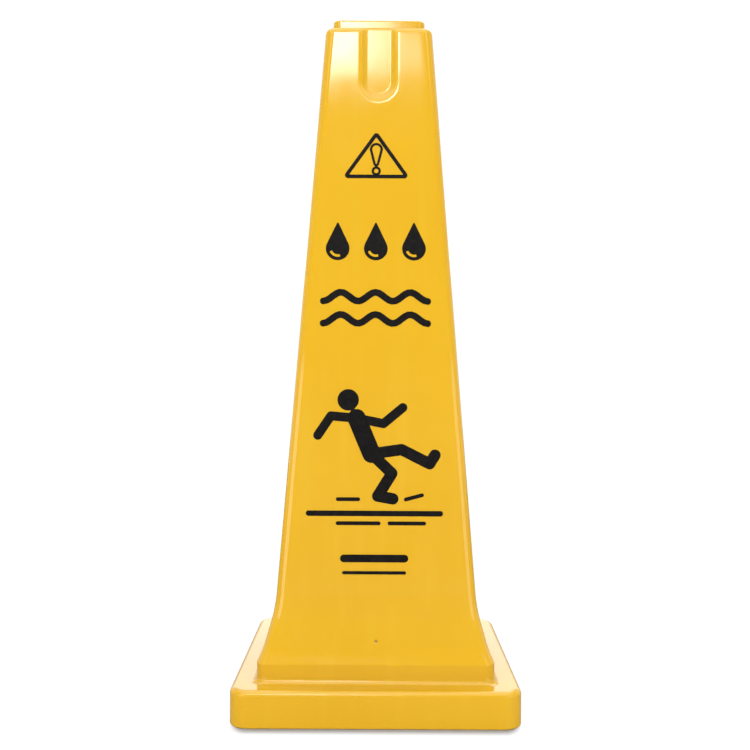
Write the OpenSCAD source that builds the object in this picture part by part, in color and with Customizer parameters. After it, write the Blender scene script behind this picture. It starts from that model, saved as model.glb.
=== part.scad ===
/* [Overall] */
// Height from the floor to the top of the rim
height = 655; // [620:1:700]
// Width of the square base
base_width = 261; // [240:1:300]
// Height of the base block
base_height = 33; // [24:1:40]
// Thickness of the moulded wall
wall = 3; // [2:0.1:3.5]

/* [Base] */
// Corner radius of the base, seen from above
base_corner = 17; // [8:1:25]
// Thickness of the skirt that stands on the floor
skirt = 4; // [3:0.1:6]
// Rounding along the top edge of the base
base_edge = 5; // [1:0.5:6]
// Rounding where the skirt meets the floor
foot_edge = 1.5; // [0.5:0.5:2]
// Width of the plinth that stands on the base
plinth_width = 216.6; // [200:0.2:225]
// Height of the plinth above the base
plinth_height = 19.5; // [10:1:24]
// Concave fillet between the base and the plinth
plinth_fillet = 5.5; // [2:0.5:8]

/* [Body] */
// Width across the foot of the straight faces
body_foot_width = 186.4; // [170:0.2:190]
// Width across the top of the straight faces
body_top_width = 103.2; // [90:1:120]
// Height where the straight faces start
flare_top = 97; // [80:1:130]
// Width across the foot of the flare
flare_foot_width = 206.6; // [195:0.2:212]
// Corner radius of the body, seen from above
body_corner = 9; // [6:0.5:14]

/* [Top] */
// Width across the top of the raised square rim
rim_width = 88.4; // [80:0.2:92]
// Height of the rim above the shoulder
rim_height = 8.5; // [4:0.5:10]
// Corner radius of the rim, seen from above
rim_corner = 7.5; // [5:0.5:12]
// Rounding of the shoulder between the faces and the top
shoulder_edge = 6.5; // [3:0.5:7]
// Diameter of the hole through the top plate
top_hole = 60; // [30:1:64]

/* [Finger pocket in each face] */
// Width of the pocket at the face
pocket_width = 39; // [30:0.2:44]
// Width of the pocket floor
pocket_floor_width = 22; // [14:0.2:26]
// Depth of the pocket
pocket_depth = 3.5; // [2:0.1:4]
// Height of the centre of the pocket's round lower end
pocket_centre = 591; // [570:1:605]

/* [Prints] */
// Thickness of the ink
ink_thickness = 0.2; // [0.1:0.05:0.5]
// Sideways offset of the prints from the middle of a face
print_shift = -2; // [-5:0.5:5]
// Height of the lower edge of the caution triangle
triangle_z = 498.5; // [480:0.5:505]
// Height of the lower edge of the row of drops
drops_z = 420; // [410:1:440]
// Height of the middle of the two waves
waves_z = 375; // [365:1:385]
// Height of the floor line under the slipping figure
figure_z = 188; // [180:1:205]
// Height of the middle of the two trim rules
rules_z = 138; // [130:1:145]

/* [Hidden] */
SIDES = ["front", "right", "back", "left"];
PRINTS = ["caution_triangle", "exclamation_mark", "water_drops", "water_waves",
          "slipping_figure", "skid_lines", "trim_rules"];

body_colour = [0.95, 0.73, 0.18];
ink_colour = [0.07, 0.06, 0.06];

corner_steps = 6;      // straight pieces in each rounded corner
edge_steps = 4;        // straight pieces in each rounded edge
ink_bleed = 0.5;       // rounding where two strokes of ink meet
ink_fn = 32;           // straight pieces in the circles of a print
bleed_fn = 16;         // straight pieces in the small roundings of the ink
overlap = 1;           // how far a form runs past the face that it cuts or joins

base_half = base_width / 2;
plinth_half = plinth_width / 2;
plinth_corner = body_corner + 1;
plinth_top = base_height + plinth_height;
plinth_edge = 3;                    // rounding radius along the top of the plinth
ledge_turn = 25;                    // tilt of the slope between the plinth and the flare
ledge_height = 8.5;                 // from the top of the plinth to the foot of the flare
flare_foot = plinth_top + ledge_height;
flare_foot_half = flare_foot_width / 2;
body_foot_half = body_foot_width / 2;
body_top_half = body_top_width / 2;
shoulder_z = height - rim_height;
body_top = shoulder_z - shoulder_edge;
flare_bend = 14;                    // half the height of the bend into the straight faces
flare_ease = 0.7;                   // how far the bend stands out of the corner it replaces
taper_slope = (body_foot_half - body_top_half) / (body_top - flare_top);
taper = atan(taper_slope);
rim_half = rim_width / 2;
rim_edge = 2;
rim_foot_half = rim_half + taper_slope * rim_height;
cavity_top = shoulder_z - wall;
top_recess_half = rim_half - wall;

pocket_floor_rise = 2;              // how much higher the round end of the pocket floor sits

gusset_inner = plinth_half + 1.5;   // clears the plinth of the cone stacked below
gusset_foot = 9;                    // height of a gusset's lower edge at the skirt
gusset_heel = 6;                    // depth of a gusset where it meets the skirt and the plinth
gusset_thickness = 2.5;
gusset_spacing = 70;
stop_foot = 600;                    // a stacked cone's shoulder rests here, clear of its prints
stop_inner = 60.5;                  // clears a stacked cone's rim
stop_thickness = 3;
stop_reach = 12;                    // runs from the stop's inner edge into the corner of the wall
gate_z = 69.5;                      // height of the gate mark on the front
gate_radius = 4;                    // of the ball whose cap is the gate mark
gate_depth = 0.6;

// Half the width of a straight face at height z, on the line of the taper
function face_half(z) = body_top_half + taper_slope * (body_top - z);

// Half the width of the flare at height z
function flare_half(z) = flare_foot_half
    + (body_foot_half - flare_foot_half) * (z - flare_foot) / (flare_top - flare_foot);

// A square with rounded corners at height z, anticlockwise from above
function ring(z, half, corner) = [
    for (quarter = [0 : 3], step = [0 : corner_steps])
        let (middle = 90 * quarter - 45,
             turn = 90 * quarter - 90 + 90 * step / corner_steps,
             reach = (half - corner) * sqrt(2))
        [reach * cos(middle) + corner * cos(turn), reach * sin(middle) + corner * sin(turn), z]
];

// Rings along a rounded edge. Each corner keeps its own centre while the edge turns.
function edge_rings(z, half, corner, radius, start, stop) = [
    for (step = [0 : edge_steps])
        let (turn = start + (stop - start) * step / edge_steps,
             here = half + radius * cos(turn))
        ring(z + radius * sin(turn), here, corner + radius * cos(turn))
];

// The outline of a pocket at a depth below the face: straight sides and a round lower end.
// Its size is that of the pocket's floor at share 0 and of its mouth at share 1.
function pocket_outline(share, top, depth) =
    let (half = (pocket_floor_width + share * (pocket_width - pocket_floor_width)) / 2,
         centre = pocket_centre / cos(taper) + (1 - share) * pocket_floor_rise)
    concat(
        [[-half, top, -depth]],
        [for (step = [0 : 2 * corner_steps])
            let (turn = 180 + 180 * step / (2 * corner_steps))
            [half * cos(turn), centre + half * sin(turn), -depth]],
        [[half, top, -depth]]
    );

// A closed solid through rings that hold the same number of points, from the lowest up
module skin(rings) {
    count = len(rings[0]);
    last = len(rings) - 1;
    polyhedron(
        points = [for (one = rings) each one],
        faces = concat(
            [[for (i = [0 : count - 1]) i]],
            [for (r = [0 : last - 1], i = [0 : count - 1])
                let (next = (i + 1) % count)
                [r * count + i, (r + 1) * count + i, (r + 1) * count + next, r * count + next]],
            [[for (i = [count - 1 : -1 : 0]) last * count + i]]
        )
    );
}

// Puts its children on one of the four straight faces: x runs along the face,
// y up its slope from the floor, and z out of it
module on_face(side)
    rotate([0, 0, 90 * side])
        translate([0, -face_half(0), 0])
            rotate([90 - taper, 0, 0])
                children();

// The outside of the moulding, without its pockets
module outer_form()
    skin(concat(
        edge_rings(foot_edge, base_half - foot_edge, base_corner - foot_edge, foot_edge, -90, 0),
        edge_rings(base_height - base_edge, base_half - base_edge, base_corner - base_edge, base_edge, 0, 90),
        edge_rings(base_height + plinth_fillet, plinth_half + plinth_fillet,
                   plinth_corner + plinth_fillet, plinth_fillet, 270, 180),
        edge_rings(plinth_top - plinth_edge, plinth_half - plinth_edge,
                   plinth_corner - plinth_edge, plinth_edge, 0, ledge_turn),
        [ring(flare_foot, flare_foot_half, body_corner)],
        [ring(flare_top - flare_bend, flare_half(flare_top - flare_bend), body_corner)],
        [ring(flare_top, body_foot_half + flare_ease, body_corner)],
        [ring(flare_top + flare_bend, face_half(flare_top + flare_bend), body_corner)],
        edge_rings(body_top, body_top_half - shoulder_edge, body_corner - shoulder_edge,
                   shoulder_edge, taper, 90),
        [ring(shoulder_z, rim_foot_half, rim_corner + rim_foot_half - rim_half)],
        edge_rings(height - rim_edge, rim_half - rim_edge, rim_corner - rim_edge, rim_edge, 0, 90)
    ));

// The hollow that another cone nests into
module cavity_form()
    skin([
        ring(-overlap, base_half - skirt, base_corner - skirt),
        ring(base_height - wall, base_half - skirt, base_corner - skirt),
        ring(base_height - wall, plinth_half - wall, plinth_corner - wall),
        ring(plinth_top - wall, plinth_half - wall, plinth_corner - wall),
        ring(flare_foot - wall, flare_foot_half - wall, body_corner - wall),
        ring(flare_top - 1, body_foot_half - wall, body_corner - wall),
        ring(cavity_top, face_half(cavity_top) - wall, body_corner - wall)
    ]);

// The U-shaped pocket at the top of a face, open upwards
module pocket_form() {
    top = height / cos(taper);
    skin([
        pocket_outline(0, top, pocket_depth),
        pocket_outline(1 + overlap / pocket_depth, top, -overlap)
    ]);
}

// The wall behind a pocket. It stands into the hollow no wider than the pocket does, so that
// it slides into the pocket of the cone stacked below.
module pocket_boss() {
    top = (cavity_top + overlap) / cos(taper);
    skin([
        pocket_outline(0, top, pocket_depth + wall),
        pocket_outline(1 + overlap / pocket_depth, top, wall - overlap)
    ]);
}

// Ribs that stiffen the base between its top and its skirt
module gussets()
    for (side = [0 : 3], place = [-1 : 1])
        rotate([0, 0, 90 * side])
            translate([place * gusset_spacing - gusset_thickness / 2, 0, 0])
                rotate([90, 0, 90])
                    linear_extrude(gusset_thickness)
                        polygon([
                            [-gusset_inner, base_height],
                            [-gusset_inner, base_height - wall - gusset_heel],
                            [-base_half + skirt + gusset_heel, gusset_foot],
                            [-base_half + overlap, gusset_foot],
                            [-base_half + overlap, base_height]
                        ]);

// Fins in the four corners under the top plate, which keep stacked cones from jamming
module stack_stops()
    for (quarter = [0 : 3])
        rotate([0, 0, 90 * quarter + 45])
            translate([stop_inner, -stop_thickness / 2, stop_foot])
                cube([stop_reach, stop_thickness, cavity_top + overlap - stop_foot]);

// One hollow moulding, open underneath
module cone_shell()
    color(body_colour)
        difference() {
            outer_form();
            difference() {
                cavity_form();
                gussets();
                stack_stops();
                for (side = [0 : 3])
                    on_face(side) pocket_boss();
            }
            skin([
                ring(shoulder_z, top_recess_half, rim_corner - wall),
                ring(height + overlap, top_recess_half, rim_corner - wall)
            ]);
            translate([0, 0, cavity_top - overlap])
                cylinder(d = top_hole, h = wall + 2 * overlap, $fn = 96);
            for (side = [0 : 3])
                on_face(side) pocket_form();
            translate([0, -flare_half(gate_z) - gate_radius + gate_depth, gate_z])
                sphere(r = gate_radius, $fn = 24);
        }

// The outline of a bar from one point to another, with round ends
function bar_outline(from, to, width) =
    let (along = to - from, heading = atan2(along.y, along.x))
    [for (end = [0, 1], step = [0 : ink_fn / 2])
        let (turn = heading - 90 + 180 * (end + 2 * step / ink_fn))
        (end == 0 ? to : from) + width / 2 * [cos(turn), sin(turn)]];

// A line of even width with round ends through a chain of points
module stroke(points, width)
    for (i = [0 : len(points) - 2])
        polygon(bar_outline(points[i], points[i + 1], width));

// Ink on a face, its outline drawn above height z. Ink runs a little where strokes meet.
module ink(side, z)
    color(ink_colour)
        on_face(side)
            translate([print_shift, z / cos(taper), 0])
                linear_extrude(ink_thickness)
                    offset(r = -ink_bleed, $fn = bleed_fn)
                        offset(delta = ink_bleed)
                            children();

// A drop that hangs from its point: round below, narrow above
module drop(radius, tall) {
    tip = 0.8;
    hull() {
        translate([0, radius]) circle(r = radius, $fn = ink_fn);
        translate([0, tall - tip]) circle(r = tip, $fn = ink_fn);
    }
}

// An outlined triangle with rounded outer corners
module caution_triangle(side) {
    corner = 3;
    line = 3.5;
    core = [[-26.7, corner], [26.7, corner], [0, 40.6]];
    ink(side, triangle_z)
        difference() {
            offset(r = corner, $fn = ink_fn) polygon(core);
            offset(delta = corner - line) polygon(core);
        }
}

// An outlined exclamation mark that stands inside the triangle
module exclamation_mark(side) {
    line = 2.3;
    dot = 4.4;
    ink(side, triangle_z) {
        difference() {
            offset(r = line, $fn = ink_fn) exclamation_stem();
            exclamation_stem();
        }
        translate([0, 7])
            difference() {
                circle(r = dot, $fn = ink_fn);
                circle(r = dot - line, $fn = ink_fn);
            }
    }
}

// The hollow inside of the exclamation mark's stem
module exclamation_stem()
    hull() {
        translate([0, 28]) circle(r = 3.9, $fn = ink_fn);
        translate([0, 14.3]) circle(r = 0.5, $fn = ink_fn);
    }

// Three drops of water in a row, each with a glint left clear
module water_drops(side) {
    radius = 11.2;
    ink(side, drops_z)
        for (place = [-1 : 1])
            translate([36 * place, 0])
                difference() {
                    drop(radius, 36);
                    translate([0, radius])
                        intersection() {
                            difference() {
                                circle(r = radius - 3.2, $fn = ink_fn);
                                circle(r = radius - 5.6, $fn = ink_fn);
                            }
                            rotate(200) square(radius);
                        }
                }
}

// The outline of a cosine wave of even width with round ends. It swings to each side of
// the x axis, and its crests stand at both ends and at every second half wave between.
function wave_outline(half_length, swing, half_waves, width) =
    let (steps = 16,
         rate = 180 * half_waves,
         spine = function(t) [half_length * t, swing * cos(rate * t)],
         heading = function(t) atan2(-swing * rate * PI / 180 * sin(rate * t), half_length),
         edge = function(t, side) spine(t) + side * width / 2 * [-sin(heading(t)), cos(heading(t))],
         cap = function(t, step) t * width / 2 * [sin(180 * step / 8), -cos(180 * step / 8)])
    concat(
        [for (i = [-steps : steps]) edge(i / steps, -1)],
        [for (i = [1 : 7]) spine(1) + cap(1, i)],
        [for (i = [steps : -1 : -steps]) edge(i / steps, 1)],
        [for (i = [1 : 7]) spine(-1) + cap(-1, i)]
    );

// Two waves, one above the other
module water_waves(side)
    ink(side, waves_z)
        for (row = [-1, 1])
            translate([0, 10.5 * row])
                polygon(wave_outline(49, 4.2, 3, 6.5));

// A plain figure whose feet slide away in front of it
module slipping_figure(side) {
    neck = [-17, 84];
    hip = [-3, 51];
    ink(side, figure_z) {
        translate([-25, 101]) circle(r = 10, $fn = ink_fn);
        stroke([neck, hip], 17);
        stroke([neck, [-41, 86], [-53, 68]], 8.5);
        stroke([neck, [8, 79], [26, 94]], 8.5);
        stroke([hip, [25, 55], [51, 42], [56, 50]], 10.5);
        stroke([hip, [16, 33], [3, 12], [17, 9.5]], 10.5);
    }
}

// The floor under the figure, with the marks its heel leaves
module skid_lines(side)
    ink(side, figure_z) {
        stroke([[-61, -4], [61, -4]], 5);
        stroke([[-34, -13], [4, -13]], 3.5);
        stroke([[14, -13], [46, -13]], 3.5);
        stroke([[29, 9], [44, 13]], 3.5);
        stroke([[-34, 9], [-15, 9]], 3.5);
    }

// Two plain rules that close the column of prints
module trim_rules(side)
    ink(side, rules_z) {
        stroke([[-28, 5], [28, 5]], 7);
        stroke([[-28, -8], [28, -8]], 3);
    }

cone_shell();
for (side = [0 : 3]) {
    caution_triangle(side);
    exclamation_mark(side);
    water_drops(side);
    water_waves(side);
    slipping_figure(side);
    skid_lines(side);
    trim_rules(side);
}
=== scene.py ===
"""A four-sided wet floor cone: one glossy yellow moulding with black screen prints."""

import math

import bmesh
import bpy
from mathutils import Matrix, Vector


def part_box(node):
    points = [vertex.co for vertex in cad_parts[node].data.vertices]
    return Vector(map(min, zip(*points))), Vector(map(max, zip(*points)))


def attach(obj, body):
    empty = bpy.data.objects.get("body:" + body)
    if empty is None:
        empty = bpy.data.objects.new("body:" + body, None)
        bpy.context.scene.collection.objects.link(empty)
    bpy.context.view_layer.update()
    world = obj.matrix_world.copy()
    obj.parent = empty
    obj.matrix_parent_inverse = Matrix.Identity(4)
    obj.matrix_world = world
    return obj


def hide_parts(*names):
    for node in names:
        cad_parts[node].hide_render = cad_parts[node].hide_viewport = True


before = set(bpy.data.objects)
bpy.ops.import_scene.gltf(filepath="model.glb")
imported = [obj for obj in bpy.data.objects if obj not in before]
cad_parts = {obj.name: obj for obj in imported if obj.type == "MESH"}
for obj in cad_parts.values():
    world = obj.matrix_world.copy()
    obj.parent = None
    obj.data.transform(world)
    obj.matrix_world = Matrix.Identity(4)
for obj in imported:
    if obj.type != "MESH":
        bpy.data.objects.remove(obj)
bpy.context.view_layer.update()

MM = 0.001

# Sizes of the moulding in metres. The whole comes from the CAD box, the rest from the design.
_, shell_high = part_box("cone_shell")
HEIGHT = shell_high.z
BASE_HALF = shell_high.x
BASE_CORNER = 17 * MM
BASE_HEIGHT = 33 * MM
BASE_EDGE = 5 * MM
FOOT_EDGE = 1.5 * MM
SKIRT = 4 * MM
WALL = 3 * MM

PLINTH_HALF = 108.3 * MM
PLINTH_CORNER = 10 * MM
PLINTH_TOP = 52.5 * MM
PLINTH_FILLET = 5.5 * MM
PLINTH_EDGE = 3 * MM
LEDGE_TURN = 25  # degrees that the slope between the plinth and the flare leans back
BODY_CORNER = 9 * MM

FLARE_FOOT = 61 * MM
FLARE_FOOT_HALF = 103.3 * MM
FLARE_TOP = 97 * MM
FLARE_BEND = 14 * MM  # how far the bend into the straight faces runs, below and above the flare's top
BODY_FOOT_HALF = 93.2 * MM
BODY_TOP_HALF = 51.6 * MM

RIM_HALF = 44.2 * MM
RIM_HEIGHT = 8.5 * MM
RIM_CORNER = 7.5 * MM
RIM_EDGE = 2 * MM
SHOULDER_EDGE = 6.5 * MM
SHOULDER = HEIGHT - RIM_HEIGHT
BODY_TOP = SHOULDER - SHOULDER_EDGE
CAVITY_TOP = SHOULDER - WALL
HOLE_RADIUS = 30 * MM

TAPER_SLOPE = (BODY_FOOT_HALF - BODY_TOP_HALF) / (BODY_TOP - FLARE_TOP)
TAPER = math.atan(TAPER_SLOPE)

POCKET_HALF = 19.5 * MM
POCKET_FLOOR_HALF = 11 * MM
POCKET_DEPTH = 3.5 * MM
POCKET_CENTRE = 591 * MM / math.cos(TAPER)
POCKET_FLOOR_CENTRE = POCKET_CENTRE + 2 * MM
POCKET_BLEND = 1.3 * MM  # how far outside the pocket's mouth its rounded edge begins
MOUTH_SHARE = 0.6  # how much of the pocket's wall the rounding at its mouth takes
FLOOR_SHARE = 0.3  # how much of it the rounding at its floor takes
POCKET_LOW = 570 * MM  # just below a pocket's lowest point

GATE_HEIGHT = 69.5 * MM
GATE_RADIUS = 2.2 * MM
GATE_DEPTH = 0.6 * MM
GATE_SPAN = 2.4 * MM  # how far below and above the gate mark its close rings run

GUSSET_INNER = PLINTH_HALF + 1.5 * MM
GUSSET_FOOT = 9 * MM
GUSSET_HEEL = 6 * MM
GUSSET_THICKNESS = 2.5 * MM
GUSSET_SPACING = 70 * MM
STOP_FOOT = 600 * MM
STOP_INNER = 60.5 * MM
STOP_OUTER = 71 * MM
STOP_THICKNESS = 3 * MM
STOP_LEAN = 3 * MM  # how much nearer the axis a stop's outer edge is at its top
RIB_EDGE = 0.5 * MM


def face_half(z):
    """Half the width of a straight face at height z."""
    return BODY_TOP_HALF + TAPER_SLOPE * (BODY_TOP - z)


def flare_half(z):
    """Half the width of the flare at height z."""
    share = (z - FLARE_FOOT) / (FLARE_TOP - FLARE_FOOT)
    return FLARE_FOOT_HALF + (BODY_FOOT_HALF - FLARE_FOOT_HALF) * share


def wall_profile(t):
    """How far in a pocket's wall has gone, from 0 at its gently rounded mouth to 1 at its floor."""
    slope = 1 / (1 - MOUTH_SHARE * 2 / 3 - FLOOR_SHARE / 2)
    if t < MOUTH_SHARE:
        return slope * t ** 3 / (3 * MOUTH_SHARE ** 2)
    if t > 1 - FLOOR_SHARE:
        return 1 - slope * (1 - t) ** 2 / (2 * FLOOR_SHARE)
    return slope * (t - MOUTH_SHARE * 2 / 3)


def u_reach(x, y, centre):
    """Distance of a point on a face from the spine of a U whose round end is centred at that height."""
    if y > centre:
        return abs(x)
    return math.hypot(x, y - centre)


def pocket_share(x, y):
    """How far into a pocket a point of a face lies: 0 outside it, 1 on its floor."""
    inside = POCKET_HALF + POCKET_BLEND - u_reach(x, y, POCKET_CENTRE)
    outside = u_reach(x, y, POCKET_FLOOR_CENTRE) - POCKET_FLOOR_HALF
    if inside <= 0:
        return 0.0
    if outside <= 0:
        return 1.0
    return wall_profile(inside / (inside + outside))


def pocket_half(z, share):
    """Half width at height z inside a pocket, where its floor and walls turn over at the shoulder."""
    depth = share * POCKET_DEPTH
    radius = SHOULDER_EDGE - depth
    turn_z = SHOULDER - radius
    if z <= turn_z:
        return face_half(z) - depth
    rise = min(z - turn_z, radius)
    return face_half(turn_z) - depth - radius + math.sqrt(radius * radius - rise * rise)


# The shell is one grid, closed both ways: columns run round the cone, and rings follow its
# profile up the outside, over the rim, through the top hole and down the inside.

CORNER_STEPS = 10
FLAT_STEPS = 4
WALL_START = 9.6 * MM  # where the columns stand close together, on a pocket's floor near its wall
WALL_STEP = 0.44 * MM
WALL_STEPS = 26
FLOOR_STEPS = 12


def flat_columns():
    """Places across a face, close together where the pocket's walls run."""
    half = [WALL_START * i / FLOOR_STEPS for i in range(FLOOR_STEPS)]
    half += [WALL_START + i * WALL_STEP for i in range(WALL_STEPS + 1)]
    return [-x for x in reversed(half[1:])] + half


COLUMNS = flat_columns()


def dented(point, layer, side):
    """Moves a point of the front face into its pocket, its boss or the gate mark."""
    share = pocket_share(point.x, point.z / math.cos(TAPER))
    if layer == "outer":
        if share > 0 and point.z > POCKET_LOW:
            point = Vector((point.x, -pocket_half(point.z, share), point.z))
        if side == 0:
            reach = math.hypot(point.x, point.z - GATE_HEIGHT) / GATE_RADIUS
            if reach < 1:
                point = point + Vector((0, GATE_DEPTH * (1 - reach * reach) ** 2, 0))
    if layer == "inner":
        if share > 0:
            boss = face_half(point.z) - WALL - share * POCKET_DEPTH
            point = Vector((point.x, max(point.y, -boss), point.z))
    return point


def square_ring(z, half, corner, layer="outer"):
    """One ring round the cone as a list of points, anticlockwise from above. A plain layer has no dents."""
    flat = half - corner
    reach = COLUMNS[-1]
    spread = [reach + (flat - reach) * i / FLAT_STEPS for i in range(1, FLAT_STEPS + 1)]
    across = [-x for x in reversed(spread)] + COLUMNS + spread
    points = []
    for side in range(4):
        turn = Matrix.Rotation(math.radians(90 * side), 3, "Z")
        for x in across:
            points.append(turn @ dented(Vector((x, -half, z)), layer, side))
        for step in range(1, CORNER_STEPS):
            angle = math.radians(-90 + 90 * step / CORNER_STEPS)
            x = flat + corner * math.cos(angle)
            y = -flat + corner * math.sin(angle)
            points.append(turn @ Vector((x, y, z)))
    return points


def round_ring(z, radius, like):
    """A circle whose points stand in the same directions as another ring's."""
    return [Vector((p.x, p.y, 0)).normalized() * radius + Vector((0, 0, z)) for p in like]


def rings_between(first, last):
    """Two rings spread over the flat between two others."""
    return [[a.lerp(b, share) for a, b in zip(first, last)] for share in (0.33, 0.66)]


def between(low, high, steps):
    """Values from low to high, without low itself."""
    return [low + (high - low) * i / steps for i in range(1, steps + 1)]


def edge(z, half, corner, radius, start, stop, steps, layer="outer"):
    """Rings that follow a rounded edge. Each corner keeps its own centre while the edge turns."""
    rings = []
    for i in range(steps + 1):
        angle = math.radians(start + (stop - start) * i / steps)
        out = radius * math.cos(angle)
        rings.append(square_ring(z + radius * math.sin(angle), half + out, corner + out, layer))
    return rings


def bent(a, b, c, corner, steps, layer="outer"):
    """Rings along a soft bend from a to c, each a height and a half width, that heads for b."""
    rings = []
    for i in range(steps + 1):
        t = i / steps
        z, half = (p * (1 - t) ** 2 + q * 2 * t * (1 - t) + r * t * t for p, q, r in zip(a, b, c))
        rings.append(square_ring(z, half, corner, layer))
    return rings


def pocket_heights():
    """Heights of the rings through a pocket, close together at its round lower end."""
    close_top = 586 * MM
    middle_top = 594 * MM
    highest = BODY_TOP - 1 * MM
    heights = between(POCKET_LOW, close_top, 34)
    heights += between(close_top, middle_top, 12)
    heights += between(middle_top, highest, 7)
    return heights


def outer_rings():
    """The outside, from the foot of the skirt to the top of the shoulder."""
    rings = edge(FOOT_EDGE, BASE_HALF - FOOT_EDGE, BASE_CORNER - FOOT_EDGE, FOOT_EDGE, -90, 0, 4)
    for z in between(FOOT_EDGE, BASE_HEIGHT - BASE_EDGE, 4)[:-1]:
        rings.append(square_ring(z, BASE_HALF, BASE_CORNER))
    rings += edge(BASE_HEIGHT - BASE_EDGE, BASE_HALF - BASE_EDGE, BASE_CORNER - BASE_EDGE,
                  BASE_EDGE, 0, 90, 8)
    rings += edge(BASE_HEIGHT + PLINTH_FILLET, PLINTH_HALF + PLINTH_FILLET, PLINTH_CORNER + PLINTH_FILLET,
                  PLINTH_FILLET, 270, 180, 8)
    rings += edge(PLINTH_TOP - PLINTH_EDGE, PLINTH_HALF - PLINTH_EDGE, PLINTH_CORNER - PLINTH_EDGE,
                  PLINTH_EDGE, 0, LEDGE_TURN, 6)
    ledge_slope = math.tan(math.radians(LEDGE_TURN))
    below_bend = 6 * MM
    above_bend = 5 * MM
    low, high = FLARE_FOOT - below_bend, FLARE_FOOT + above_bend
    rings += bent((low, FLARE_FOOT_HALF + ledge_slope * below_bend), (FLARE_FOOT, FLARE_FOOT_HALF),
                  (high, flare_half(high)), BODY_CORNER, 8)
    gate_low, gate_high = GATE_HEIGHT - GATE_SPAN, GATE_HEIGHT + GATE_SPAN
    bend_low, bend_high = FLARE_TOP - FLARE_BEND, FLARE_TOP + FLARE_BEND
    for z in between(gate_low, gate_high, 10) + between(gate_high, bend_low, 3)[:-1]:
        rings.append(square_ring(z, flare_half(z), BODY_CORNER))
    rings += bent((bend_low, flare_half(bend_low)), (FLARE_TOP, BODY_FOOT_HALF),
                  (bend_high, face_half(bend_high)), BODY_CORNER, 12)
    for z in between(bend_high, POCKET_LOW, 20) + pocket_heights():
        rings.append(square_ring(z, face_half(z), BODY_CORNER))
    rings += edge(BODY_TOP, BODY_TOP_HALF - SHOULDER_EDGE, BODY_CORNER - SHOULDER_EDGE, SHOULDER_EDGE,
                  math.degrees(TAPER), 90, 16)
    return rings


def rim_rings():
    """The raised rim, the recess inside it and the plate with the hole."""
    foot = 0.8 * MM
    draft = TAPER_SLOPE * (RIM_HEIGHT - RIM_EDGE - foot)
    rings = edge(SHOULDER + foot, RIM_HALF + draft + foot, RIM_CORNER + draft + foot,
                 foot, 270, 180, 4, "plain")
    rings += edge(HEIGHT - RIM_EDGE, RIM_HALF - RIM_EDGE, RIM_CORNER - RIM_EDGE, RIM_EDGE,
                  math.degrees(TAPER), 90, 8, "plain")
    inner_half = RIM_HALF - WALL
    inner_corner = RIM_CORNER - WALL
    lip = 0.8 * MM
    floor_edge = 1 * MM
    rings += edge(HEIGHT - lip, inner_half + lip, inner_corner + lip, lip, 90, 180, 4, "plain")
    rings += edge(SHOULDER + floor_edge, inner_half - floor_edge, inner_corner - floor_edge,
                  floor_edge, 0, -90, 5, "plain")
    square = rings[-1]
    hole_edge = 0.6 * MM
    circle = round_ring(SHOULDER, HOLE_RADIUS + hole_edge, square)
    rings += rings_between(square, circle)
    quarter = [math.radians(degrees) for degrees in (0, 30, 60, 90)]
    for angle in quarter:
        z = SHOULDER - hole_edge * (1 - math.cos(angle))
        rings.append(round_ring(z, HOLE_RADIUS + hole_edge * (1 - math.sin(angle)), square))
    for angle in quarter:
        z = CAVITY_TOP + hole_edge * (1 - math.sin(angle))
        rings.append(round_ring(z, HOLE_RADIUS + hole_edge * (1 - math.cos(angle)), square))
    return rings


def inner_rings(last_circle):
    """The hollow, from the underside of the top plate down to the foot of the skirt."""
    top_half = face_half(CAVITY_TOP) - WALL
    inner_corner = BODY_CORNER - WALL
    fillet = 1 * MM
    top = edge(CAVITY_TOP - fillet, top_half - fillet, inner_corner - fillet, fillet, 90, 0, 4, "inner")
    rings = rings_between(last_circle, top[0]) + top
    below_fillet = CAVITY_TOP - 2 * MM
    heights = [z for z in reversed(pocket_heights()[::3]) if z < below_fillet]
    bend_reach = 10 * MM
    bend_low, bend_high = FLARE_TOP - bend_reach, FLARE_TOP + bend_reach
    inside_drop = 1 * MM  # how much lower the wall bends on its inside than on its outside
    for z in heights + between(heights[-1], bend_high, 14)[:-1]:
        rings.append(square_ring(z, face_half(z) - WALL, inner_corner, "inner"))
    rings += bent((bend_high, face_half(bend_high) - WALL),
                  (FLARE_TOP - inside_drop, BODY_FOOT_HALF - WALL),
                  (bend_low, flare_half(bend_low) - WALL), inner_corner, 5, "inner")
    plinth_half = PLINTH_HALF - WALL
    plinth_ease = 0.4 * MM  # what the corner under the plinth's top is eased by
    bend_start = FLARE_FOOT + 3 * MM
    rings += bent((bend_start, flare_half(bend_start) - WALL), (FLARE_FOOT - WALL, FLARE_FOOT_HALF - WALL),
                  (PLINTH_TOP - WALL, plinth_half - plinth_ease), inner_corner, 5, "inner")
    plinth_corner = PLINTH_CORNER - WALL
    under = BASE_HEIGHT - WALL
    rings.append(square_ring(PLINTH_TOP - 2 * WALL, plinth_half, plinth_corner, "plain"))
    rings += edge(under + fillet, plinth_half + fillet, plinth_corner + fillet,
                  fillet, 180, 270, 4, "plain")
    skirt_half = BASE_HALF - SKIRT
    skirt_corner = BASE_CORNER - SKIRT
    root = 2 * MM
    rings += edge(under - root, skirt_half - root, skirt_corner - root, root, 90, 0, 4, "plain")
    for z in between(under - root, 1 * MM, 3)[:-1]:
        rings.append(square_ring(z, skirt_half, skirt_corner, "plain"))
    foot = 0.8 * MM
    rings += edge(foot, skirt_half + foot, skirt_corner + foot, foot, 180, 270, 3, "plain")
    return rings


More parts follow.
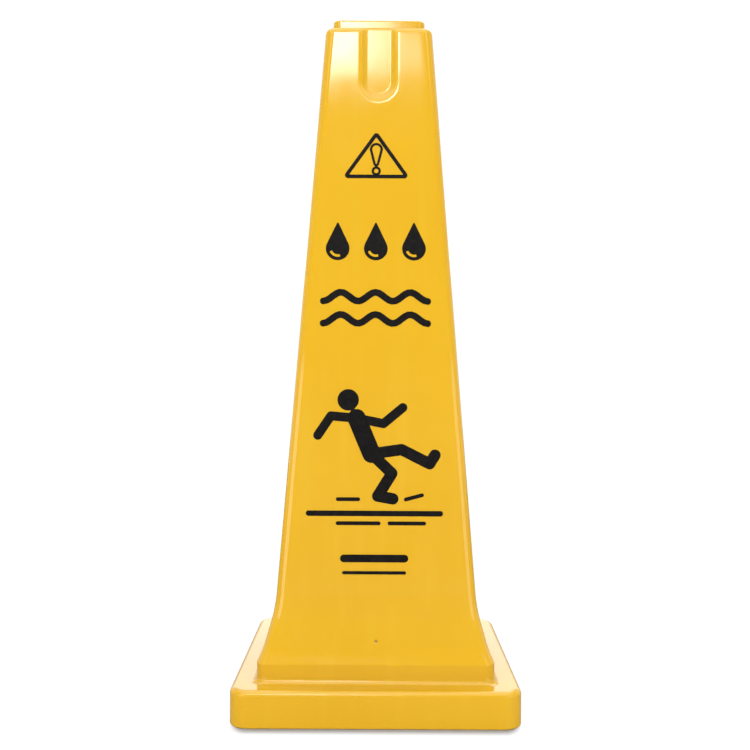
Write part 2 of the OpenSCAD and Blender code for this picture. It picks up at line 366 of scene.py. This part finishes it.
def add_grid(bm, rings):
    """Adds the closed grid of rings to a mesh."""
    count = len(rings[0])
    rows = [[bm.verts.new(p) for p in ring] for ring in rings]
    for r, row in enumerate(rows):
        above = rows[(r + 1) % len(rows)]
        for i in range(count):
            j = (i + 1) % count
            bm.faces.new((row[i], row[j], above[j], above[i]))


def add_rib(bm, outline, thickness, turn):
    """Adds a rib with softened edges. Its outline is in x and z, before the rib is turned into place."""
    rib = bmesh.new()
    near = [rib.verts.new((x, -thickness / 2, z)) for x, z in outline]
    far = [rib.verts.new((x, thickness / 2, z)) for x, z in outline]
    rib.faces.new(near)
    rib.faces.new(list(reversed(far)))
    for i in range(len(outline)):
        j = (i + 1) % len(outline)
        rib.faces.new((near[j], near[i], far[i], far[j]))
    bmesh.ops.recalc_face_normals(rib, faces=rib.faces)
    bmesh.ops.bevel(rib, geom=rib.edges[:], offset=RIB_EDGE, segments=2, affect="EDGES")
    rib.transform(turn)
    part = bpy.data.meshes.new("rib")
    rib.to_mesh(part)
    rib.free()
    bm.from_mesh(part)
    bpy.data.meshes.remove(part)


def add_ribs(bm):
    """The gussets under the base's flange and the stops in the corners under the top plate."""
    into_wall = 1 * MM
    under = BASE_HEIGHT - WALL
    skirt_inner = BASE_HALF - SKIRT
    gusset = [(GUSSET_INNER, under + into_wall), (GUSSET_INNER, under - GUSSET_HEEL),
              (skirt_inner - GUSSET_HEEL, GUSSET_FOOT), (skirt_inner + into_wall, GUSSET_FOOT),
              (skirt_inner + into_wall, under + into_wall)]
    top = CAVITY_TOP + into_wall
    stop = [(STOP_INNER, top), (STOP_INNER, STOP_FOOT), (STOP_OUTER, STOP_FOOT),
            (STOP_OUTER - STOP_LEAN, top)]
    for side in range(4):
        turn = Matrix.Rotation(math.radians(90 * side), 4, "Z")
        for place in (-1, 0, 1):
            add_rib(bm, gusset, GUSSET_THICKNESS, turn @ Matrix.Translation((0, place * GUSSET_SPACING, 0)))
        corner_turn = Matrix.Rotation(math.radians(90 * side + 45), 4, "Z")
        add_rib(bm, stop, STOP_THICKNESS, corner_turn)


def build_shell():
    """The whole moulding as one object."""
    rings = outer_rings() + rim_rings()
    rings += inner_rings(rings[-1])
    bm = bmesh.new()
    add_grid(bm, rings)
    add_ribs(bm)
    for face in bm.faces:
        face.smooth = True
    mesh = bpy.data.meshes.new("moulded_cone")
    bm.to_mesh(mesh)
    bm.free()
    obj = bpy.data.objects.new("moulded_cone", mesh)
    bpy.context.scene.collection.objects.link(obj)
    weigh = obj.modifiers.new("keep flats flat", "WEIGHTED_NORMAL")
    weigh.mode = "FACE_AREA"
    weigh.weight = 100
    weigh.keep_sharp = True
    return obj


shell = build_shell()
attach(shell, "root")
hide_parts("cone_shell")


class Shading:
    """A node material, with short calls for the nodes that it's made of."""

    def __init__(self, name):
        self.material = bpy.data.materials.new(name)
        self.material.use_nodes = True
        self.nodes = self.material.node_tree.nodes
        self.links = self.material.node_tree.links
        self.shader = self.nodes["Principled BSDF"]
        self.place = self.nodes.new("ShaderNodeTexCoord").outputs["Object"]

    def stretched(self, scale):
        """Places on the object, multiplied along each axis."""
        mapping = self.nodes.new("ShaderNodeMapping")
        mapping.inputs["Scale"].default_value = scale
        self.links.new(self.place, mapping.inputs["Vector"])
        return mapping.outputs["Vector"]

    def noise(self, scale, detail=2.0, place=None, roughness=0.5, distortion=0.0):
        """A cloudy pattern from 0 to 1."""
        node = self.nodes.new("ShaderNodeTexNoise")
        node.inputs["Scale"].default_value = scale
        node.inputs["Detail"].default_value = detail
        node.inputs["Roughness"].default_value = roughness
        node.inputs["Distortion"].default_value = distortion
        self.links.new(place or self.place, node.inputs["Vector"])
        return node.outputs["Fac"]

    def ramp(self, value, low, high, to_low=0.0, to_high=1.0):
        """Maps values between low and high to a new range, smoothly and held at its ends."""
        node = self.nodes.new("ShaderNodeMapRange")
        node.interpolation_type = "SMOOTHSTEP"
        node.inputs["From Min"].default_value = low
        node.inputs["From Max"].default_value = high
        node.inputs["To Min"].default_value = to_low
        node.inputs["To Max"].default_value = to_high
        self.links.new(value, node.inputs["Value"])
        return node.outputs["Result"]

    def maths(self, operation, a, b=0.0):
        """The sum, product or other outcome of a value and another value or a number."""
        node = self.nodes.new("ShaderNodeMath")
        node.operation = operation
        self.links.new(a, node.inputs[0])
        if isinstance(b, (int, float)):
            node.inputs[1].default_value = b
        else:
            self.links.new(b, node.inputs[1])
        return node.outputs["Value"]

    def past(self, value, limit):
        """How far a value lies beyond a limit on either side of zero."""
        beyond = self.maths("SUBTRACT", self.maths("ABSOLUTE", value), limit)
        return self.maths("MAXIMUM", beyond, 0)

    def mix(self, share, first, second):
        """A colour between two, each a colour or the outcome of another mix."""
        node = self.nodes.new("ShaderNodeMix")
        node.data_type = "RGBA"
        self.links.new(share, node.inputs["Factor"])
        for socket, value in ((node.inputs["A"], first), (node.inputs["B"], second)):
            if isinstance(value, tuple):
                socket.default_value = (*value, 1)
            else:
                self.links.new(value, socket)
        return node.outputs["Result"]

    def bump(self, height, distance, normal=None):
        """A surface normal pushed about by a height pattern, whose full swing is the distance."""
        node = self.nodes.new("ShaderNodeBump")
        node.inputs["Strength"].default_value = 1.0
        node.inputs["Distance"].default_value = distance
        self.links.new(height, node.inputs["Height"])
        if normal:
            self.links.new(normal, node.inputs["Normal"])
        return node.outputs["Normal"]

    def distance(self, point):
        """Distance from a point on the object."""
        node = self.nodes.new("ShaderNodeVectorMath")
        node.operation = "DISTANCE"
        node.inputs[1].default_value = point
        self.links.new(self.place, node.inputs[0])
        return node.outputs["Value"]

    def height(self):
        """Height above the floor."""
        node = self.nodes.new("ShaderNodeSeparateXYZ")
        self.links.new(self.place, node.inputs["Vector"])
        return node.outputs["Z"]


def yellow_plastic():
    """Moulded plastic with faint clouds and flow lines, a gate mark darkened with painted shade, a fine skin
    and low scuffs.
    """
    deep_yellow = (0.553, 0.309, 0.0100)
    light_yellow = (0.570, 0.323, 0.0115)
    flow_yellow = (0.568, 0.330, 0.0140)
    scuffed_yellow = (0.68, 0.43, 0.06)
    painted_gate_shade_colour = (0.20, 0.085, 0.006)

    look = Shading("yellow_plastic")
    clouds = look.noise(9, 3)
    flow = look.noise(1, 2, look.stretched((70, 70, 5)))
    colour = look.mix(look.ramp(clouds, 0.3, 0.7), deep_yellow, light_yellow)
    colour = look.mix(look.ramp(flow, 0.45, 0.8), colour, flow_yellow)

    scratch = look.noise(1, 3, look.stretched((90, 90, 900)), 0.6, 0.4)
    scratch = look.ramp(scratch, 0.66, 0.71)
    near_floor = look.ramp(look.height(), 12 * MM, 45 * MM, 1.0, 0.0)
    patches = look.ramp(look.noise(28, 2), 0.48, 0.62)
    scuffs = look.maths("MULTIPLY", look.maths("MULTIPLY", scratch, near_floor), patches)
    colour = look.mix(look.maths("MULTIPLY", scuffs, 0.5), colour, scuffed_yellow)

    # Painted shade: the shallow gate dimple is tinted dark brown, standing in for the shade inside a deeper
    # hole.
    from_gate = look.distance((0, GATE_DEPTH - flare_half(GATE_HEIGHT), GATE_HEIGHT))
    painted_gate_shade = look.ramp(from_gate, GATE_RADIUS * 0.35, GATE_RADIUS, 1.0, 0.0)
    colour = look.mix(look.maths("MULTIPLY", painted_gate_shade, 0.75), colour, painted_gate_shade_colour)

    roughness = look.ramp(look.noise(40, 4), 0.3, 0.7, 0.085, 0.115)
    roughness = look.maths("ADD", roughness, look.maths("MULTIPLY", scuffs, 0.25))

    waves = look.bump(look.noise(16, 0), 0.07 * MM)
    skin = look.bump(look.noise(700, 1), 0.0012 * MM, waves)

    look.links.new(colour, look.shader.inputs["Base Color"])
    look.links.new(roughness, look.shader.inputs["Roughness"])
    look.links.new(skin, look.shader.inputs["Normal"])
    look.shader.inputs["IOR"].default_value = 1.5
    return look.material


def black_ink():
    """Screen-printing ink: near black and satin, with faint mottling and a slight grain of the mesh."""
    dense_black = (0.0035, 0.0030, 0.0030)
    thin_black = (0.0070, 0.0060, 0.0055)
    look = Shading("black_ink")
    mottle = look.ramp(look.noise(260, 3), 0.35, 0.7)
    colour = look.mix(mottle, dense_black, thin_black)
    roughness = look.ramp(look.noise(120, 3), 0.3, 0.7, 0.42, 0.55)
    grain = look.bump(look.noise(2600, 1), 0.004 * MM)
    look.links.new(colour, look.shader.inputs["Base Color"])
    look.links.new(roughness, look.shader.inputs["Roughness"])
    look.links.new(grain, look.shader.inputs["Normal"])
    look.shader.inputs["Specular IOR Level"].default_value = 0.12
    return look.material


shell.data.materials.append(yellow_plastic())
ink = black_ink()
for name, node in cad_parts.items():
    if name != "cone_shell":
        node.data.materials.clear()
        node.data.materials.append(ink)


# The camera looks straight ahead at the cone from about half its height, rolled very slightly.
EYE_DISTANCE = 1.0107
EYE_HEIGHT = 0.3218
camera_data = bpy.data.cameras.new("camera")
camera_data.sensor_width = 36
camera_data.lens = 47.9664
camera_data.shift_x = -0.0031
camera_data.shift_y = -0.014
camera = bpy.data.objects.new("camera", camera_data)
camera.location = (0, -EYE_DISTANCE, EYE_HEIGHT)
camera.rotation_euler = (math.radians(90), 0, 0)
camera.rotation_euler.rotate_axis("Z", math.radians(0.3))
bpy.context.scene.collection.objects.link(camera)
bpy.context.scene.camera = camera


def panel(name, centre, aim, width, height, radiance):
    """A soft white light panel that shines at a point, with its strength given as brightness per area."""
    light = bpy.data.lights.new(name, "AREA")
    light.shape = "RECTANGLE"
    light.size = width
    light.size_y = height
    light.energy = radiance * width * height * math.pi
    obj = bpy.data.objects.new(name, light)
    obj.location = centre
    obj.rotation_euler = (Vector(aim) - Vector(centre)).to_track_quat("-Z", "Y").to_euler()
    obj.visible_camera = False
    bpy.context.scene.collection.objects.link(obj)
    return obj


def front_panel(name, left, right, low, high, radiance):
    """An upright panel in front of the cone, given by its edges."""
    distance = 2.45
    x, z = (left + right) / 2, (low + high) / 2
    return panel(name, (x, -distance, z), (x, 0, z), right - left, high - low, radiance)


# A strip of light stands high in front, a little to the left. It's dimmer at its right end, and a
# lower, dimmer spill runs on beyond that. A broad, dimmer sheet leans back over the cone from the
# strip's upper edge. The low fill evens out the upright faces of the base and the plinth. It's
# hidden from reflections, which no real lamp could be.
STRIP_LEFT = -0.55
STRIP_END_LEFT = -0.05
SPILL_LEFT = 0.055
SPILL_RIGHT = 0.19
STRIP_LOW = 1.726
STRIP_HIGH = 2.07
SPILL_HIGH = 1.87
front_panel("strip", STRIP_LEFT, STRIP_END_LEFT, STRIP_LOW, STRIP_HIGH, 23.5)
front_panel("strip_end", STRIP_END_LEFT, SPILL_LEFT, STRIP_LOW, STRIP_HIGH, 12.5)
front_panel("strip_spill", SPILL_LEFT, SPILL_RIGHT, STRIP_LOW, SPILL_HIGH, 5.8)
panel("front_sheet", (0, -1.525, 2.83), (0, 0, 0.98), 5.0, 2.4, 1.9)
panel("overhead", (0, 0.9, 3.4), (0, 0.9, 0), 4.0, 2.8, 1.9)
panel("left_fill", (-1.5, -1.6, 0.3), (0, 0, 0.1), 1.5, 0.8, 2.7)
panel("right_fill", (1.5, -1.6, 0.3), (0, 0, 0.1), 1.5, 0.8, 2.1)
low_fill = panel("low_fill", (0, -1.6, 0.25), (0, 0, 0.03), 1.8, 0.5, 2.5)
low_fill.visible_glossy = False
panel("back_wall", (0, 4.0, 1.25), (0, 0, 0.1), 5.0, 0.75, 1.3)
panel("back_softbox", (0.8, 2.8, 2.9), (0, 0, 0.4), 1.8, 1.2, 4)

BACKDROP_LEVEL = 1.05  # just over pure white, for the far floor and what the camera sees behind it


def flat_floor():
    """A white floor with a painted contact shadow: close round the base the camera sees a dark diffuse floor
    under the real lamps, which fades into an evenly lit backdrop a short way off. To match the photo, the
    camera, the reflections and the bounced light each see it at a different brightness."""
    mesh = bpy.data.meshes.new("floor")
    bm = bmesh.new()
    bmesh.ops.create_grid(bm, x_segments=1, y_segments=1, size=8)
    bm.to_mesh(mesh)
    bm.free()
    obj = bpy.data.objects.new("floor", mesh)
    bpy.context.scene.collection.objects.link(obj)

    look = Shading("white_floor")
    look.shader.inputs["Roughness"].default_value = 0.9
    ray = look.nodes.new("ShaderNodeLightPath")
    # Painted shadow: the camera sees a much darker floor albedo than the bounced light does, and only close
    # round the base.
    colour = look.mix(ray.outputs["Is Camera Ray"], (0.78, 0.78, 0.78), (0.31, 0.314, 0.322))
    look.links.new(colour, look.shader.inputs["Base Color"])
    split = look.nodes.new("ShaderNodeSeparateXYZ")
    look.links.new(look.place, split.inputs["Vector"])
    side_fade = 1.8  # how much faster the shadow fades to the sides than to the front
    beside = look.maths("MULTIPLY", look.past(split.outputs["X"], BASE_HALF - BASE_CORNER), side_fade)
    before = look.past(split.outputs["Y"], BASE_HALF - BASE_CORNER)
    squares = look.maths("ADD", look.maths("POWER", beside, 2.0), look.maths("POWER", before, 2.0))
    # The painted shadow fades out over this distance from the base's rounded outline, into the glowing
    # backdrop.
    painted_shadow_start = BASE_CORNER + 1.5 * MM
    painted_shadow_end = BASE_CORNER + 16 * MM
    far = look.ramp(look.maths("POWER", squares, 0.5), painted_shadow_start, painted_shadow_end)

    glow = look.nodes.new("ShaderNodeEmission")
    glow.inputs["Strength"].default_value = BACKDROP_LEVEL
    fade = look.nodes.new("ShaderNodeMixShader")
    look.links.new(look.maths("MULTIPLY", far, ray.outputs["Is Camera Ray"]), fade.inputs["Fac"])
    look.links.new(look.shader.outputs["BSDF"], fade.inputs[1])
    look.links.new(glow.outputs["Emission"], fade.inputs[2])

    dark = look.nodes.new("ShaderNodeBsdfDiffuse")
    dark.inputs["Color"].default_value = (0.2, 0.2, 0.2, 1)
    final = look.nodes.new("ShaderNodeMixShader")
    look.links.new(ray.outputs["Is Glossy Ray"], final.inputs["Fac"])
    look.links.new(fade.outputs["Shader"], final.inputs[1])
    look.links.new(dark.outputs["BSDF"], final.inputs[2])
    look.links.new(final.outputs["Shader"], look.nodes["Material Output"].inputs["Surface"])
    mesh.materials.append(look.material)
    return obj


flat_floor()


def studio_world():
    """Pure white behind the cone to the camera. What the cone reflects is dim in front and white behind."""
    world = bpy.data.worlds.new("studio")
    world.use_nodes = True
    nodes, links = world.node_tree.nodes, world.node_tree.links
    direction = nodes.new("ShaderNodeSeparateXYZ")
    links.new(nodes.new("ShaderNodeTexCoord").outputs["Generated"], direction.inputs["Vector"])
    room = nodes.new("ShaderNodeMapRange")
    room.inputs["From Min"].default_value = -0.6
    room.inputs["From Max"].default_value = 0.4
    room.inputs["To Min"].default_value = 0.2
    room.inputs["To Max"].default_value = 1.0
    links.new(direction.outputs["Y"], room.inputs["Value"])
    ray = nodes.new("ShaderNodeLightPath")
    strength = nodes.new("ShaderNodeMapRange")
    strength.inputs["To Max"].default_value = BACKDROP_LEVEL
    links.new(ray.outputs["Is Camera Ray"], strength.inputs["Value"])
    links.new(room.outputs["Result"], strength.inputs["To Min"])
    nodes["Background"].inputs["Color"].default_value = (1, 1, 1, 1)
    links.new(strength.outputs["Result"], nodes["Background"].inputs["Strength"])
    return world


bpy.context.scene.world = studio_world()
bpy.context.scene.view_settings.view_transform = "Standard"
